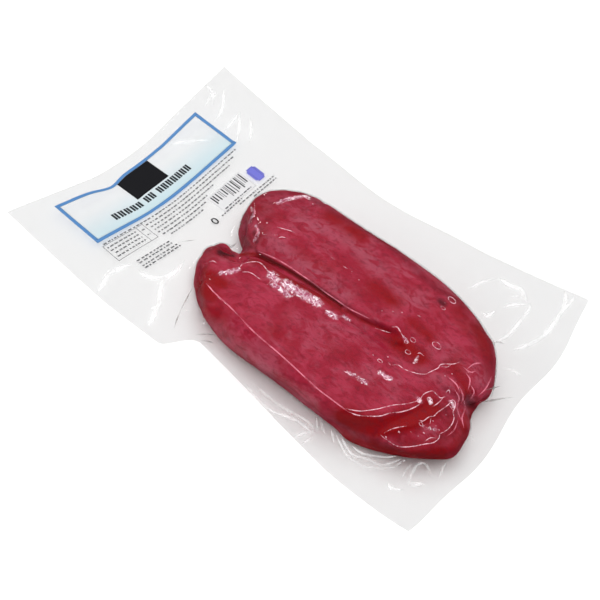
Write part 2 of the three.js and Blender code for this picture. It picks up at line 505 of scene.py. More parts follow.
# Dents in upright walls: the middle, the way the wall faces, the depth and the reach
ROE_DENTS = [
    ((-29, -15.5, 7), (0, 1, 0), 5.5, 5.5),
    ((-26, -17, 10), (0, 1, 0), 3.5, 4.0),
    ((113.5, -17, 6), (1, 0, 0), 1.8, 6.0),
    ((108, -6, 6), (0.5, -0.87, 0), 2.0, 6.0),
]
KNOBS = "396,352 404,361 417,347 424,338 428,352 414,334 436,346 419,357 399,342 410,330"
KNOB_HEIGHT = 1.0
KNOB_RADIUS = 1.8
# The tight film presses down what would stand above this height
PRESSED_ABOVE = 26.2
PRESSED_ROOM = 0.8


# Lumps of the roe's skin: their height, how far apart they are, and their seed
ROE_LUMPS = [(0.5, 26, 1), (0.25, 11, 2), (0.12, 5, 3), (0.06, 2.4, 4)]
# Rounds of evening out, before and after the forms
ROUNDS_BEFORE = 14
ROUNDS_AFTER = 2
# Forms fade out below this height, so that the roe's flat underside stays as it is
FORMS_FADE_BELOW = 3


def shape_roe(roe):
    """Lumps, folds and pits of the roe's skin."""
    mesh = roe.data
    relax(mesh, ROUNDS_BEFORE)
    tree = tree_of(mesh)
    points = points_of(mesh)
    rise = np.zeros(len(points))
    for height, cell, seed in ROE_LUMPS:
        rise += height * value_noise(points, cell, seed)
    for path, height, slope in ROE_FORMS.values():
        rise += height * bell(distance_to_path(points, tree, path), slope)
    for path, height, reach in ROE_SHOULDERS:
        rise += height * np.exp(-distance_to_path(points, tree, path) / reach)
    for knob in seen_points(tree, smooth_line(KNOBS, 1)):
        rise += KNOB_HEIGHT * bell(np.linalg.norm(points - knob, axis=1), KNOB_RADIUS)
    normals = normals_of(mesh)
    for centre, facing, depth, reach in ROE_DENTS:
        turned = np.clip(normals @ np.array(facing), 0, 1)
        rise -= depth * turned * bell(np.linalg.norm(points - centre, axis=1), reach)
    share = smooth_step(points[:, 2], ROE_BASE, FORMS_FADE_BELOW)
    points += normals * (rise * share)[:, None]
    over = np.maximum(points[:, 2] - PRESSED_ABOVE, 0)
    points[:, 2] -= over - over / (1 + over / PRESSED_ROOM)
    points[:, 2] = np.maximum(points[:, 2], ROE_BASE)
    set_points(mesh, points)
    relax(mesh, ROUNDS_AFTER)


# Where juice lies between skin and film and the red is deepest, with painted shade deepening the red in the
# crease and along the lower walls: a path, its reach and its strength
WET_AND_SHADED_PLACES = [
    ("204,272 214,280 222,284", 4, 1.25), ("201,284 206,291 212,298", 5, 1.2),
    ("205,305 222,318", 5, 0.9), (FAR_TIP_FACE, 8, 0.5),
    (NEAR_TIP_EDGE, 5, 0.45), (POCKET_END, 5, 0.55), (POCKET_BASE, 3.5, 0.6),
    ("456,310 472,326 484,344", 6, 0.6),
    ("345,418 360,424 380,426 400,423 420,416 432,408", 5, 1.45), ("396,342 412,352 420,358", 5, 1.1),
    ("412,324 428,336", 4.5, 0.9), ("376,286 392,300", 5, 0.8), ("330,215 362,236", 5, 0.9),
    ("246,196 258,200", 4, 0.7), ("376,448 410,456 440,456", 5, 1.3), ("466,416 464,436 452,450", 4, 0.8),
    ("478,330 486,352", 6, 0.8), ("456,366 466,392", 4, 0.7), ("456,312 466,330", 5, 0.6),
    ("330,348 352,356", 4, 0.35), ("270,330 290,345", 4, 0.3), ("300,252 330,262", 5, 0.35),
    ("375,432 398,428", 3, 1.4), (CREASE, 1.5, 1.5), (CREASE_END, 1.2, 0.9), (SECOND_CREASE, 2.0, 0.9),
]
# Where the skin is greyer and paler, partly its own tone and partly painted sheen, as the veil on the
# lower-left wall and the end facet's soft highlight, listed in the same way
PALE_AND_SHEEN_PLACES = [
    ("300,222 345,236 380,268", 6, 0.9), ("270,240 300,262 345,292", 5, 0.9), ("400,296 420,300", 5, 0.7),
    ("420,372 440,380", 4, 0.8), ("474,366 480,380", 4.0, 1.2), ("372,378 395,388", 4, 0.5),
    ("268,200 262,216", 4, 0.6), ("440,390 452,382", 3, 0.6), ("425,354 450,352", 4, 0.5),
    ("250,358 270,375 300,400 325,421 352,436", 6, 0.75), ("255,225 262,240", 4, 0.6),
    ("466,398 468,412 466,428", 2.5, 0.9), ("448,384 458,394 462,412", 2.5, 0.7),
    ("458,362 470,374", 3, 0.7), ("300,318 330,340", 6, 0.4),
]
# Painted shade: where the skin is darkest, in folds, dimples, the crease and pits, and along and under its
# edges
PAINTED_SHADE_PLACES = [
    ("220,252 232,256", 1.8, 0.9), ("440,301 444,304", 1.5, 0.75),
    ("251,199 245,212 244,228 246,246", 5.0, 0.45), ("252,214 250,222", 1.5, 0.6),
    ("254,232 257,242", 1.5, 0.6), ("478,322 491,346 492,366", 2.5, 0.3),
    ("262,196 285,193 304,195 330,210 394,249 434,286 458,301", 2.4, 0.35),
    ("199,264 198,285 203,305", 2.5, 0.35), ("206,252 214,248 222,248 230,252", 1.8, 0.35),
    ("244,254 252,254 265,259 285,269 300,278 320,291 341,306", 0.9, 0.25),
    ("252,260 265,264 285,277 302,286 320,296 341,310", 0.8, 0.2),
    ("250,206 268,200 290,200 312,206", 7, 0.17), ("200,262 212,250 226,246 236,252", 4, 0.15),
    ("462,306 478,330 488,352 488,372", 6, 0.12), ("410,448 432,450 452,444", 5, 0.14),
    ("214,322 228,338 243,351", 3.5, 0.15), (FAR_TIP_FACE, 8, 0.14), (NEAR_TIP_EDGE, 5, 0.15),
    (POCKET_END, 5, 0.22), ("468,316 482,338 488,352", 5, 0.15), (POCKET_BASE, 4, 0.12),
    ("212,244 222,247 230,251", 3, 0.2), ("345,309 362,320 389,332", 0.9, 0.1),
    ("336,422 360,436 400,451 440,456 460,447 466,432", 2.2, 0.3),
    ("470,403 476,409", 2.2, 0.6), ("466,394 470,402", 1.5, 0.3), ("200,318 206,328", 2, 0.4),
]


def mark_roe(roe):
    """Writes the shares that the roe's material reads."""
    mesh = roe.data
    tree = tree_of(mesh)
    points = points_of(mesh)
    shares = {}
    for name, places in (("wet_and_shade", WET_AND_SHADED_PLACES), ("pale", PALE_AND_SHEEN_PLACES), ("dark", PAINTED_SHADE_PLACES)):
        shares[name] = np.zeros(len(points))
        for path, reach, strength in places:
            near = strength * bell(distance_to_path(points, tree, path), reach)
            shares[name] = np.maximum(shares[name], near)
    mottling = 0.25 * value_noise(points, 7, 11) + 0.12 * value_noise(points, 3, 12)
    # Painted shade: the lower walls deepen towards the wet red, most towards the right end
    wall_shade_share = 0.2 + 0.65 * smooth_step(points[:, 0], 60, 80)
    painted_wall_shade = wall_shade_share * (1 - smooth_step(points[:, 2], 5, 15))
    shares["wet_and_shade"] = np.maximum(shares["wet_and_shade"], painted_wall_shade) + mottling
    shares["pale"] *= 1 + 2 * mottling
    for name, share in shares.items():
        set_share(mesh, name, share)


# The film's height over the floor, on an even grid


class Field:
    """Heights on an even grid, read between its points."""

    def __init__(self):
        self.x = np.arange(-POUCH_LENGTH / 2 - 3, POUCH_LENGTH / 2 + 3, FIELD_PITCH)
        self.y = np.arange(-POUCH_WIDTH / 2 - 3, POUCH_WIDTH / 2 + 3, FIELD_PITCH)
        self.grid_x, self.grid_y = np.meshgrid(self.x, self.y)
        self.height = np.zeros(self.grid_x.shape)

    def at(self, x, y):
        across = np.clip((x - self.x[0]) / FIELD_PITCH, 0, len(self.x) - 1.001)
        along = np.clip((y - self.y[0]) / FIELD_PITCH, 0, len(self.y) - 1.001)
        column = across.astype(int)
        row = along.astype(int)
        u = across - column
        v = along - row
        low = self.height[row, column] * (1 - u) + self.height[row, column + 1] * u
        high = self.height[row + 1, column] * (1 - u) + self.height[row + 1, column + 1] * u
        return low * (1 - v) + high * v


def shifted(values, row, column):
    return np.roll(np.roll(values, row, axis=0), column, axis=1)


def rolled_over(height, radius):
    """The surface that a ball rolling over the heights can reach: hollows become round fillets."""
    reach = int(radius / FIELD_PITCH)
    steps = []
    for row, column in np.ndindex(2 * reach + 1, 2 * reach + 1):
        away = math.hypot(row - reach, column - reach) * FIELD_PITCH
        if away <= radius:
            steps.append((row - reach, column - reach, radius - math.sqrt(radius ** 2 - away ** 2)))
    raised = np.full_like(height, -1e9)
    for row, column, drop in steps:
        raised = np.maximum(raised, shifted(height, row, column) - drop)
    lowered = np.full_like(height, 1e9)
    for row, column, drop in steps:
        lowered = np.minimum(lowered, shifted(raised, row, column) + drop)
    return lowered


def upper_web_level(x, y):
    """The upper web's underside over the margin: it meets the lower web at the pouch's edge."""
    edge_x = np.minimum(x - printed_end_x(y), roe_end_x(y) - x)
    edge_y = np.minimum(y - near_side_y(x), far_side_y(x) - y)
    opened = smooth_step(np.minimum(edge_x, edge_y), 0, 9)
    return margin_lift(x, y) + WEB_THICKNESS + 0.02 + WEB_GAP * opened


def film_field(roe):
    """How high the upper web's underside lies, stretched tight over roe and margin."""
    field = Field()
    tree = tree_of(roe.data)
    low = points_of(roe.data).min(axis=0)
    high = points_of(roe.data).max(axis=0)
    over_roe = np.full(field.height.shape, -1e3)
    for row in np.flatnonzero((field.y > low[1]) & (field.y < high[1])):
        for column in np.flatnonzero((field.x > low[0]) & (field.x < high[0])):
            start = Vector((field.x[column], field.y[row], 100))
            hit = tree.ray_cast(start, Vector((0, 0, -1)))[0]
            if hit is not None:
                over_roe[row, column] = hit.z + FILM_CLEARANCE
    wide = over_roe
    for row, column in ((0, 1), (0, -1), (1, 0), (-1, 0)):
        wide = np.maximum(wide, shifted(over_roe, row, column))
    level = upper_web_level(field.grid_x, field.grid_y)
    field.height = rolled_over(np.maximum(wide, level), FILM_BEND_RADIUS)
    return field


def spread_evenly(x, y, field, crowding, rounds):
    """Moves a grid's inner points so that steep film, and film over the roe, gets its share of them."""
    for _ in range(rounds):
        z = field.at(x, y)
        weight = crowding.at(x, y)
        along = np.sqrt(sum(np.diff(values, axis=1) ** 2 for values in (x, y, z)))
        across = np.sqrt(sum(np.diff(values, axis=0) ** 2 for values in (x, y, z)))
        along *= weight[:, :-1] + weight[:, 1:]
        across *= weight[:-1] + weight[1:]
        west = along[1:-1, :-1]
        east = along[1:-1, 1:]
        south = across[:-1, 1:-1]
        north = across[1:, 1:-1]
        total = west + east + south + north
        for values in (x, y):
            pulled = west * values[1:-1, :-2] + east * values[1:-1, 2:]
            pulled += south * values[:-2, 1:-1] + north * values[2:, 1:-1]
            values[1:-1, 1:-1] += 0.5 * (pulled / total - values[1:-1, 1:-1])


def resampled(values, rows, columns):
    """A grid of values read at other numbers of rows and columns."""
    old_rows, old_columns = values.shape
    column_places = np.linspace(0, old_columns - 1, columns)
    row_places = np.linspace(0, old_rows - 1, rows)
    wide = np.array([np.interp(column_places, np.arange(old_columns), row) for row in values])
    return np.array([np.interp(row_places, np.arange(old_rows), column) for column in wide.T]).T


def film_grid(field, crowding):
    """Points of the upper web seen from above, spread over a coarse grid first and then finer ones."""
    coarsest = GRID_STEPS[0][0]
    x, y = pouch_grid(FILM_COLUMNS // coarsest, FILM_ROWS // coarsest)
    for divisor, rounds in GRID_STEPS:
        rims = pouch_grid(FILM_COLUMNS // divisor, FILM_ROWS // divisor)
        x, y = (resampled(values, FILM_ROWS // divisor, FILM_COLUMNS // divisor) for values in (x, y))
        for values, rim in zip((x, y), rims):
            values[[0, -1]] = rim[[0, -1]]
            values[:, [0, -1]] = rim[:, [0, -1]]
        spread_evenly(x, y, field, crowding, rounds)
    return x, y


# A fold's welt is this much wider than its core
FOLD_SPREAD = 1.35
# Folds of the upper web over the margin, their welts white with cloudy doubled film and painted glints: a
# path, half the width of its core, and its height
MARGIN_FOLDS = [
    ("98,292 103,284 108,276 116,270 131,264", 1.0, 0.9),
    ("148,326 154,315 159,303 160,292 163,284 169,277 181,268", 1.1, 1.2),
    ("139,271 146,276 156,278 167,276 178,269 184,261", 0.9, 0.7), ("171,144 185,142 210,140", 1.1, 0.5),
    ("224,88 223,104 219,115 214,122", 0.8, 0.8), ("240,112 239,128 237,142", 0.8, 0.8),
    ("224,131 233,121 239,112", 0.7, 0.6), ("205,106 211,97 217,93", 1.0, 0.7),
    ("250,118 251,130 250,142", 0.8, 0.4), ("205,84 212,92 214,104", 0.8, 0.5),
    ("470,288 478,284 488,280 497,279", 0.8, 0.5),
    ("500,279 506,283 513,287 521,289 524,296 528,302", 1.0, 0.8),
    ("530,303 529,310 521,320 513,330 505,337 497,342", 0.9, 0.9),
    ("565,291 565,302 561,312 552,326 543,336 530,344 514,350", 1.0, 0.9),
    ("576,296 569,304 561,314", 0.9, 0.7), ("503,307 512,305 530,304", 0.7, 0.4),
    ("512,296 521,296", 0.7, 0.4), ("483,312 487,316 495,311", 1.1, 0.5),
    ("504,369 512,370 520,375", 0.9, 0.6), ("247,384 253,394 263,404 276,414", 0.8, 0.6),
    ("256,386 265,394 281,406 295,414 308,422 315,431", 0.7, 0.6),
    ("274,412 290,418 302,424 311,433", 0.8, 0.7), ("294,437 305,433 316,431", 0.8, 0.5),
    ("303,443 313,437", 0.8, 0.4), ("336,434 341,445 346,454 354,461 366,467 381,468 396,467", 0.6, 0.8),
    ("341,436 346,446 353,455 367,459 381,465 391,463 401,459", 0.6, 0.8),
    ("352,446 360,452 369,455 386,457 397,456", 0.5, 0.5), ("396,466 401,462 408,459", 0.5, 0.5),
    ("408,484 411,475 417,465 423,463 428,467 431,476", 0.7, 0.9), ("401,478 407,469 412,463", 0.5, 0.6),
    ("439,479 442,470 446,463", 0.6, 0.6), ("406,485 415,484 424,484", 1.1, 0.6),
    ("388,482 391,488 402,490", 0.9, 0.5), ("316,416 317,424 317,431", 0.5, 0.5),
    ("321,419 322,427 325,434", 0.5, 0.5), ("331,429 333,437 334,443", 0.5, 0.5),
    ("470,436 473,441", 1.4, 0.5), ("186,309 187,312", 1.2, 0.5), ("203,322 205,324", 1.0, 0.4),
]
# Creases seen as dark lines: their welts carry painted fold shade
DARK_FOLDS = [
    ("195,335 205,334 215,335", 0.35, 0.3), ("199,340 207,341 214,343", 0.3, 0.2),
    ("193,287 186,300 179,314 174,328", 0.3, 0.3), ("474,403 488,401 500,399 513,397", 0.4, 0.4),
    ("486,390 493,388 500,386", 0.3, 0.3), ("196,240 186,241 176,243", 0.2, 0.2),
    ("491,344 498,342 505,344", 0.3, 0.3),
]
# Lines of doubled film over the roe, which catch the light, brightest first: their welts are painted glints
BRIGHT_LINES = [
    "349,412 357,415 366,416 380,416 390,413 400,412 408,410 415,407 420,404",
    "392,327 397,327 400,331 404,338", "417,363 418,357", "431,418 430,424", "343,371 348,373 353,376",
    "273,278 268,272", "273,278 280,275", "274,280 281,284", "272,280 267,285",
]
ROE_LINES = [
    "345,408 352,410 362,411 377,409 385,407 394,405 405,404 414,402 419,400",
    "420,403 421,398 424,394 428,392 433,391 437,395 441,398 446,396", "432,407 438,403 443,398",
    "239,268 243,264 250,262 258,262 263,265 267,270 270,273", "242,272 248,272 253,274 257,277 263,281",
    "275,203 280,202 285,199 291,198 298,197 304,197 309,200",
    "375,328 384,331 391,333", "388,362 391,366", "392,365 398,365 404,369 412,372 420,374 427,374",
    "426,374 432,371 438,368 440,365 444,364 453,364 460,362", "441,366 447,367 452,364",
    "380,434 386,440", "384,433 392,429 400,427 407,426",
    "419,420 423,421 429,417 434,416 438,412 444,408 449,404 452,400 455,402 455,407 453,412 454,418 "
    "452,424 448,429 444,432",
    "444,432 440,434 439,438 436,441 432,443 425,444 415,446 405,447 397,446 390,442 385,438",
    "424,442 430,438 436,438", "449,405 453,410", "452,403 455,407", "277,227 284,229 291,231 296,233",
    "272,235 278,235", "278,238 282,237 288,238.5", "261,234.5 268,234.5", "281,204 286,201 290,200",
    "331,257 335,260", "343,266 348,269", "417,354 420,353 424,356", "445,393 449,390 450,394",
    "417,315 421,317", "355,377 360,379 365,383", "209,262 213,261 217,263",
    "209,286 212,290 214,293", "217,296 221,300", "224,302 227,305",
]
# Fainter lines, their welts a painted pink glint
FAINT_LINES = [
    "206,283 212,290 218,296 226,303 232,309 240,317",
    "240,317 250,328 262,339 275,350 283,357 295,368 308,380 319,390 327,396 339,405 349,412",
    "258,251 272,257 280,261 290,267 300,274 312,282 325,292 338,301 350,309 362,315 370,319",
    "466,370 474,364 482,363", "447,376 456,384 460,392",
    "256,226 258,231 255,237 258,241", "254,208 255,212 253,217",
    "462,366 470,372 476,371", "459,386 463,396 461,404",
    "478,396 486,388 492,376", "455,390 459,398 457,408 461,420", "463,398 465,408 462,418 464,428",
    "447,436 454,430 458,420", "470,384 474,392 470,400", "466,373 470,380 468,390",
]
# Specks and rings of air under the film over the roe, drawn as painted glints: pixel and half width in
# millimetres
SPECKS = [
    (267, 223, 0.7), (313, 204, 0.7), (352, 272, 0.4), (359, 280, 0.4), (382, 311, 0.35), (393, 311.5, 0.5),
    (402, 312.5, 0.5), (373, 355, 0.5), (388, 357, 0.5), (445, 376, 0.35), (452, 374, 0.4), (468, 372, 0.4),
    (456, 382, 0.35), (378, 374, 0.6), (427, 428, 0.45), (424, 433, 0.6), (436, 426, 0.45), (439, 430, 0.45),
    (418, 436, 0.4), (433, 421, 0.4), (446, 415, 0.35), (428, 440, 0.4), (411, 432, 0.35), (440, 420, 0.35),
    (399, 432, 0.7), (450, 387, 0.4), (445, 303, 0.4), (386, 437, 0.6), (414, 363, 0.8), (333, 319, 0.5),
]
RINGS = [
    (437, 345, 2.4), (413, 340, 1.4), (408, 352, 1.4), (452, 300, 2.1), (443, 308, 1.2), (380, 361, 1.2),
    (406, 342, 0.9), (430, 400, 1.5), (386, 378, 1.1), (421, 424, 1.0), (419, 401, 0.9),
]
# Crinkled film, lifted off the skin, where the film also carries painted white glints: a path, half its
# width, and how strongly it is crinkled
CRINKLES = [
    ("271,275 276,281", 2.6, 0.9), ("286,284 294,290 305,296 318,304", 2.7, 1.0),
    ("273,285 281,290 289,296", 1.8, 0.9), ("222,273 230,272 237,270", 2.0, 0.85),
    ("329,313 335,317", 2.1, 0.9), ("344,317 348,320", 1.6, 0.8), ("380,373 390,379", 1.5, 0.8),
    ("418,399 420,402", 1.1, 0.9), ("430,399 430,403", 1.1, 0.9), ("404,337 407,342", 0.9, 0.8),
    ("278,203 290,199 304,197 309,199", 1.7, 0.68), ("450,402 454,407", 1.2, 0.8),
    ("415,362 418,357", 0.9, 0.65), ("251,208 254,214 250,222", 1.5, 0.5),
    ("256,226 259,233 254,242", 1.5, 0.52), ("359,378 365,383", 1.6, 0.75),
    ("348,373 355,376", 1.3, 0.7), ("424,427 436,430", 1.3, 0.5),
]


# Ripples of the film: their height, how far apart they are, and their seed
FILM_RIPPLES = [(0.14, 9, 21), (0.07, 3.5, 22)]
# How far the film stands out along its lines over the roe, and where it is crinkled
LINE_RELIEF = 0.3
LINE_HALF_WIDTH = 0.9
CRINKLE_RELIEF = 0.2
CRINKLE_UNEVENNESS = 0.35
CRINKLE_CELL = 1.9
# How much further a fold's slope reaches than its core
FOLD_SLOPE = 0.6


def upper_web(field):
    """The clear upper web: tight over the roe, pleated over the margin."""
    crowding = Field()
    raised = field.height - upper_web_level(field.grid_x, field.grid_y)
    crowding.height = 1 + ROE_CROWDING * smooth_step(raised, 0.5, 4)
    x, y = film_grid(field, crowding)
    base = np.stack((x, y, field.at(x, y)), axis=2)
    flat = base.reshape(-1, 3)
    tree = tree_of(new_object("film_base", *sheet(base, base - (0, 0, WEB_THICKNESS))).data)
    bpy.data.objects.remove(bpy.data.objects["film_base"])
    crinkle_and_glint = np.zeros(len(flat))
    for path, half_width, strength in CRINKLES:
        crinkle_and_glint = np.maximum(crinkle_and_glint, strength * bell(distance_to_path(flat, tree, path), half_width))
    relief = np.zeros(len(flat))
    for height, cell, seed in FILM_RIPPLES:
        relief += height * value_noise(flat, cell, seed)
    for path, half_width, height in MARGIN_FOLDS + DARK_FOLDS:
        relief += height * bell(distance_to_path(flat, tree, path), half_width + FOLD_SLOPE)
    for path in BRIGHT_LINES + ROE_LINES + FAINT_LINES:
        relief += LINE_RELIEF * bell(distance_to_path(flat, tree, path), LINE_HALF_WIDTH)
    unevenness = value_noise(flat, CRINKLE_CELL, 31)
    relief += crinkle_and_glint * (CRINKLE_RELIEF + CRINKLE_UNEVENNESS * unevenness)
    along = np.gradient(base, axis=1)
    across = np.gradient(base, axis=0)
    normals = np.cross(along, across)
    normals /= np.linalg.norm(normals, axis=2, keepdims=True)
    lower = base + normals * np.maximum(relief, 0).reshape(*x.shape, 1)
    piece = new_object("film_upper_web", *sheet(lower + normals * WEB_THICKNESS, lower))
    piece.data.set_sharp_from_angle(angle=math.radians(60))
    # The crinkle share also places the film's painted white glints
    set_share(piece.data, "crinkle_and_glint", np.tile(crinkle_and_glint, 2))
    return piece


def lower_web():
    """The clear lower web, flat under the roe."""
    x, y = pouch_grid(LOWER_COLUMNS, LOWER_ROWS)
    lower = np.stack((x, y, margin_lift(x, y)), axis=2)
    return new_object("film_lower_web", *sheet(lower + (0, 0, WEB_THICKNESS), lower))


def on_surface(tree, points):
    """The nearest places on a surface, and its outward normals there."""
    found = [tree.find_nearest(Vector(point))[:2] for point in points]
    return np.array([place for place, _ in found]), np.array([normal for _, normal in found])


BEAD_ANGLES = np.arange(8) * math.pi / 4
# How opaque a welt's painted tone is at each corner of its section: clear at both edges
BEAD_TONE_OPACITY = 1 - np.abs(np.cos(BEAD_ANGLES)) ** 1.5


def bead(tree, line, half_width, endless=False):
    """A low welt along a line on the film, thin at its ends, with how opaque its tone is at each point."""
    line, normals = on_surface(tree, line)
    ahead = np.roll(line, -1, axis=0) - np.roll(line, 1, axis=0)
    if not endless:
        ahead[0] = line[1] - line[0]
        ahead[-1] = line[-1] - line[-2]
    beside = np.cross(normals, ahead)
    beside /= np.maximum(np.linalg.norm(beside, axis=1, keepdims=True), 1e-9)
    place = np.arange(len(line))
    swell = np.ones(len(line)) if endless else np.clip(np.minimum(place, place[::-1]) / 4, 0.2, 1)
    rings = []
    angle = BEAD_ANGLES[:, None]
    for middle, normal, side, size in zip(line, normals, beside, swell * half_width):
        rings.append(middle + size * (np.cos(angle) * side + (0.35 * np.sin(angle) + 0.1) * normal))
    return *skin(rings, endless), np.tile(BEAD_TONE_OPACITY, len(rings))


def circle_on(tree, pixel, radius, sides=14):
    """A circle drawn on the film round the place of a pixel."""
    centre = seen_points(tree, [pixel])
    normal = on_surface(tree, centre)[1][0]
    side = np.cross(normal, (0, 1, 0))
    side /= np.linalg.norm(side)
    turn = np.arange(sides)[:, None] * 2 * math.pi / sides
    return centre + radius * (np.cos(turn) * side + 0.65 * np.sin(turn) * np.cross(normal, side))


def toned_bead_piece(name, parts, material):
    """Welts or bubbles joined into one piece, which keeps how opaque the painted tone is at each of its
    points.
    """
    piece = joined(name, [(points, faces) for points, faces, _ in parts])
    set_share(piece.data, "tone_opacity", np.concatenate([tone_opacity for _, _, tone_opacity in parts]))
    finish_piece(piece, material)
    piece.visible_shadow = False


def film_beads(name, tree, paths_by_width, material):
    parts = []
    for half_width, paths in paths_by_width.items():
        for path in paths:
            parts.append(bead(tree, seen_points(tree, smooth_line(path)), half_width))
    toned_bead_piece(name, parts, material)


# The rings of an air speck: the share of its width, the height over the film, and how opaque its painted
# glint is
SPECK_RINGS = [(1, -0.05, 0), (0.7, 0.12, 0.7), (0.3, 0.2, 1)]


def air_specks(tree, material):
    parts = [bead(tree, circle_on(tree, (x, y), radius), 0.2, endless=True) for x, y, radius in RINGS]
    for x, y, radius in SPECKS:
        places, normals = on_surface(tree, circle_on(tree, (x, y), radius))
        middle = places.mean(axis=0)
        rings = [middle + (places - middle) * share + normals * lift for share, lift, _ in SPECK_RINGS]
        tone_opacity = np.repeat([tone_opacity for _, _, tone_opacity in SPECK_RINGS], len(places))
        parts.append((*skin(rings), tone_opacity))
    toned_bead_piece("film_air_specks", parts, material)


# Print: plain fields and bars, in places on the flat pouch, in millimetres

PRINT_THICKNESS = 0.03
# How high over the film ink lies: on the film itself, or on other ink
PRINT_LEVEL = 0.03
OVERPRINT_LEVEL = 0.08
FRAME_LOW = (-118.5, -58.5)
FRAME_HIGH = (-86, 45.8)
FRAME_LINE = 2.0
# What parts one patch of ink from the next
HAIR = 0.03
# The pouch's end is puckered here, which bends the frame's outer line inwards
FRAME_STEP = 3.0
FRAME_STEP_Y = -26
FRAME_STEP_SPAN = 8


def print_patch(tree, low, high, level):
    """A thin patch of ink over a rectangle of the flat pouch, following the film."""
    columns = max(2, int(high[0] - low[0]) + 2)
    rows = max(2, int(high[1] - low[1]) + 2)
    flat_x, flat_y = np.meshgrid(np.linspace(low[0], high[0], columns), np.linspace(low[1], high[1], rows))
    outward = np.clip((FRAME_HIGH[0] - flat_x) / (FRAME_HIGH[0] - FRAME_LOW[0]), 0, 1)
    x, y = pouch_place(flat_x + FRAME_STEP * outward * bell(flat_y - FRAME_STEP_Y, FRAME_STEP_SPAN), flat_y)
    places = []
    for start in np.column_stack((x.ravel(), y.ravel())):
        places.append(tree.ray_cast(Vector((*start, 100)), Vector((0, 0, -1)))[0])
    lower = np.array(places).reshape(rows, columns, 3) + (0, 0, level)
    return sheet(lower + (0, 0, PRINT_THICKNESS), lower)


# Materials


def new_material(name):
    material = bpy.data.materials.new(name)
    material.use_nodes = True
    material.node_tree.nodes.clear()
    return material, material.node_tree


def add_node(tree, kind, inputs, **settings):
    """A node whose inputs are given as values or as other nodes' outputs."""
    node = tree.nodes.new(kind)
    for name, value in settings.items():
        setattr(node, name, value)
    for key, value in inputs.items():
        if isinstance(value, bpy.types.NodeSocket):
            tree.links.new(value, node.inputs[key])
        else:
            node.inputs[key].default_value = value
    return node


def finish_material(tree, shader):
    add_node(tree, "ShaderNodeOutputMaterial", {"Surface": shader.outputs[0]})


def place_node(tree):
    return add_node(tree, "ShaderNodeTexCoord", {}).outputs["Object"]


def share_node(tree, name):
    return add_node(tree, "ShaderNodeAttribute", {}, attribute_name=name).outputs["Fac"]


def noise_node(tree, place, scale, detail=3, roughness=0.55, distortion=0):
    inputs = {"Vector": place, "Scale": scale, "Detail": detail, "Roughness": roughness}
    return add_node(tree, "ShaderNodeTexNoise", {**inputs, "Distortion": distortion}).outputs["Fac"]


def ramp_node(tree, source, stops):
    """A colour ramp: each stop is a place and a colour, or a place and a grey."""
    node = add_node(tree, "ShaderNodeValToRGB", {"Fac": source})
    elements = node.color_ramp.elements
    while len(elements) < len(stops):
        elements.new(0.5)
    for element, (place, colour) in zip(elements, stops):
        element.position = place
        value = colour if isinstance(colour, tuple) else (colour, colour, colour)
        element.color = (*value, 1)
    return node.outputs["Color"]


def mix_colour(tree, share, first, second):
    """A mix of two colours, each a tuple or another node's output."""
    first, second = ((*value, 1) if isinstance(value, tuple) else value for value in (first, second))
    inputs = {"Factor": share, 6: first, 7: second}
    return add_node(tree, "ShaderNodeMix", inputs, data_type="RGBA").outputs[2]


def math_node(tree, operation, *operands):
    """A maths node: each operand is a number or another node's output."""
    return add_node(tree, "ShaderNodeMath", dict(enumerate(operands)), operation=operation).outputs["Value"]


def bump_node(tree, height, strength, distance):
    inputs = {"Strength": strength, "Distance": distance, "Height": height}
    return add_node(tree, "ShaderNodeBump", inputs).outputs["Normal"]


def shader_mix(tree, share, first, second):
    return add_node(tree, "ShaderNodeMixShader", {"Fac": share, 1: first.outputs[0], 2: second.outputs[0]})


ROE_PINK = (0.408, 0.0305, 0.066)
ROE_PALE_AND_SHEEN = (0.39, 0.070, 0.110)
ROE_CRIMSON = (0.314, 0.0105, 0.0315)
ROE_DEEP = (0.14, 0.0055, 0.016)
ROE_WET_AND_SHADE = (0.265, 0.0005, 0.004)
ROE_PAINTED_SHADE = (0.030, 0.003, 0.005)


